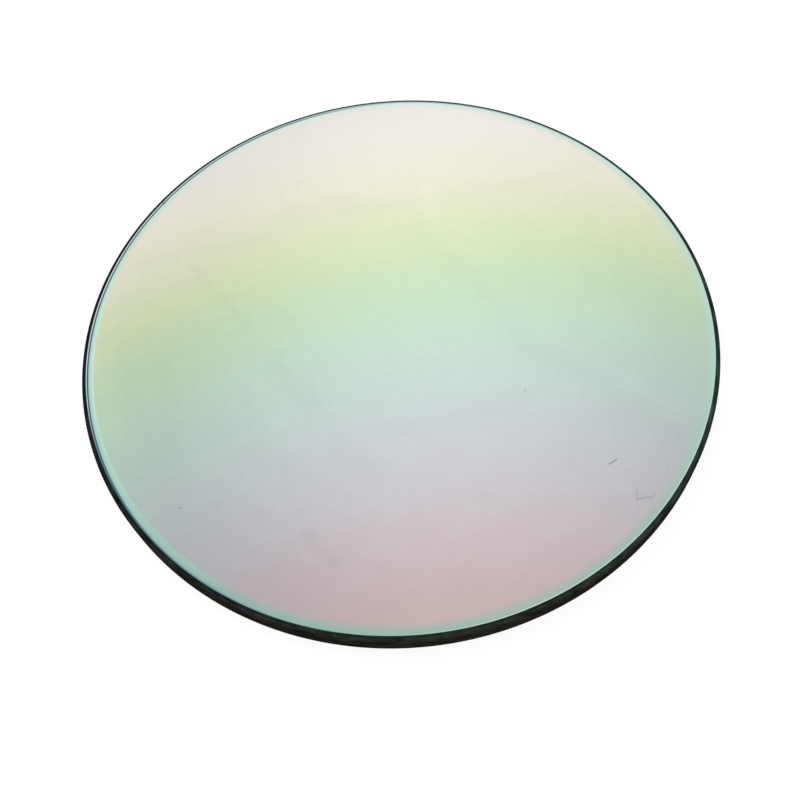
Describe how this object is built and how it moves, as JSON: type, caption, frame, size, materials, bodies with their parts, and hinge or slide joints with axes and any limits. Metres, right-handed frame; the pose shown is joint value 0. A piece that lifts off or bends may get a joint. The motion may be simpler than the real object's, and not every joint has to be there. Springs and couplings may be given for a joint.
{
  "type": "germanium optical window",
  "caption": "Flat round germanium window for infrared optics, with polished anti-reflection coated faces, a ground rim and narrow protective bevels.",
  "frame": {"origin": "centre of the polished back face, on which the window lies", "axes": "+Z along the optical axis, out of the front face; X and Y lie in the back face, and the disc is the same all round"},
  "size_m": [0.075, 0.075, 0.003],
  "materials": {
    "coated_germanium": "polished faces under a pale green and pink interference coating, finely ground dark grey rim"
  },
  "bodies": {
    "root": {"germanium_window": "coated_germanium"}
  },
  "joints": []
}
